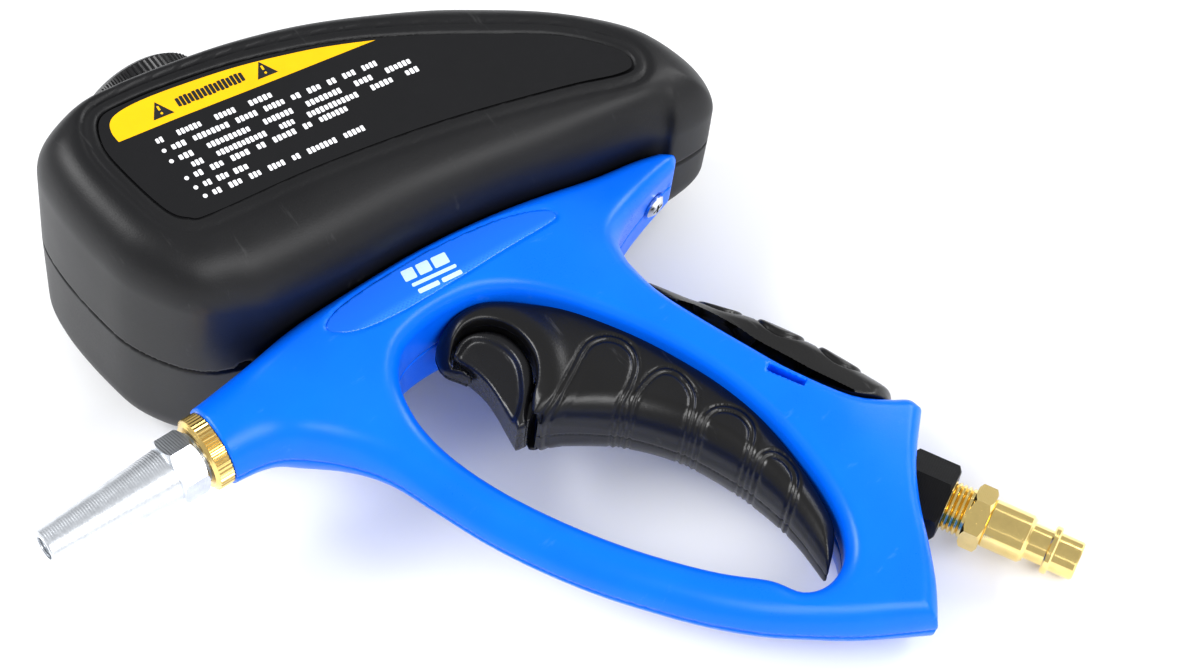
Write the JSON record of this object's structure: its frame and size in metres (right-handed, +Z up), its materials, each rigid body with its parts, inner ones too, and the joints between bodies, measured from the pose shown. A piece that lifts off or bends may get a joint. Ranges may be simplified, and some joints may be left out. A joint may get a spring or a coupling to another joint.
{
  "type": "handheld abrasive blast gun",
  "caption": "Hand-held gravity-feed abrasive blast gun lying on its side: moulded hopper on a pistol body with finger guard, trigger, threaded nozzle, lock ring, filler cap and air plug.",
  "frame": {"origin": "centre of the bounding box's lowest face: the gun lies on its side on a bench, on the hopper's lower face and the foot of the handle", "axes": "+Z up from the bench; +X roughly from the nozzle to the tail, 4.8 degrees down at the tail; +Y roughly from the handle towards the hopper"},
  "size_m": [0.2172, 0.2514, 0.0967],
  "materials": {
    "hopper_black": "satin, fine moulded grain",
    "label_film": "satin printed film",
    "cap_black": "ribbed, matt",
    "body_blue": "satin gloss, fine moulded texture",
    "nameplate_film": "gloss film in a recess",
    "grip_rubber": "soft overmould, satin",
    "trigger_black": "satin",
    "seal_rubber": "matt",
    "seal_white": "matt fibre washer",
    "screw_chrome": "bright",
    "screw_steel": "zinc plated",
    "zinc_alloy": "as cast and machined",
    "brass": "turned, polished",
    "steel_tube": "drawn",
    "spring_steel": "bright wire",
    "adapter_black": "black oxide",
    "nozzle_zinc": "zinc plated, turned"
  },
  "bodies": {
    "root": {"hopper_upper": "hopper_black", "hopper_lower": "hopper_black", "hopper_label": "label_film", "filler_neck": "hopper_black", "hopper_outlet": "hopper_black", "outlet_seal": "seal_rubber", "hopper_screw": "screw_chrome", "body_upper": "body_blue", "body_lower": "body_blue", "nameplate": "nameplate_film", "body_screws": "screw_steel", "grip": "grip_rubber", "palm_pad": "grip_rubber", "trigger_pin": "screw_steel", "mixing_chamber": "zinc_alloy", "air_jet": "brass", "tube_nut": "brass", "air_tube": "steel_tube", "elbow": "brass", "riser_tube": "steel_tube", "valve_body": "brass", "valve_spring": "spring_steel", "valve_cap": "brass", "handle_tube": "steel_tube", "inlet_adapter": "adapter_black", "plug_seal": "seal_white", "air_plug": "brass"},
    "trigger": {"trigger": "trigger_black"},
    "valve_stem": {"valve_stem": "steel_tube", "stem_seal": "seal_rubber", "poppet_seal": "seal_rubber"},
    "cap_lift": {"cap_gasket": "seal_rubber"},
    "filler_cap": {"filler_cap": "cap_black"},
    "lock_ring": {"lock_ring": "brass"},
    "nozzle_travel": {"nozzle_seal": "seal_rubber"},
    "nozzle": {"nozzle": "nozzle_zinc"}
  },
  "joints": [
    {"name": "trigger_pull", "type": "hinge", "parent": "root", "child": "trigger", "pos_m": [0.00926, 0.00787, 0.03371], "axis": [0.0827, -0.1495, 0.9853], "range_deg": [0, 9], "stiffness_Nm_per_rad": 0.35, "springref_deg": -17.19},
    {"name": "stem_slide", "type": "slide", "parent": "root", "child": "valve_stem", "axis": [0.9965, 0, -0.0837], "range_m": [0, 0.00236], "deforming": ["valve_spring"]},
    {"name": "cap_unscrew", "type": "slide", "parent": "root", "child": "cap_lift", "axis": [0.0125, 0.9888, 0.149], "range_m": [0, 0.012]},
    {"name": "cap_turn", "type": "hinge", "parent": "cap_lift", "child": "filler_cap", "pos_m": [-0.0168, 0.11466, 0.0521], "axis": [0.0125, 0.9888, 0.149], "range_deg": [0, 1080]},
    {"name": "lock_ring_turn", "type": "hinge", "parent": "root", "child": "lock_ring", "pos_m": [-0.06077, 0.02567, 0.04229], "axis": [0.9965, 0, -0.0837], "range_deg": [0, 90]},
    {"name": "nozzle_unscrew", "type": "slide", "parent": "root", "child": "nozzle_travel", "axis": [-0.9965, 0, 0.0837], "range_m": [0, 0.00802]},
    {"name": "nozzle_turn", "type": "hinge", "parent": "nozzle_travel", "child": "nozzle", "pos_m": [-0.07074, 0.02567, 0.04313], "axis": [-0.9965, 0, 0.0837], "range_deg": [0, 2160]}
  ],
  "couplings": [
    {"joint": "stem_slide", "follows": "trigger_pull", "m_per_rad": 0.015},
    {"joint": "cap_turn", "follows": "cap_unscrew", "rad_per_m": 1570.8},
    {"joint": "nozzle_turn", "follows": "nozzle_unscrew", "rad_per_m": 4700.6}
  ]
}
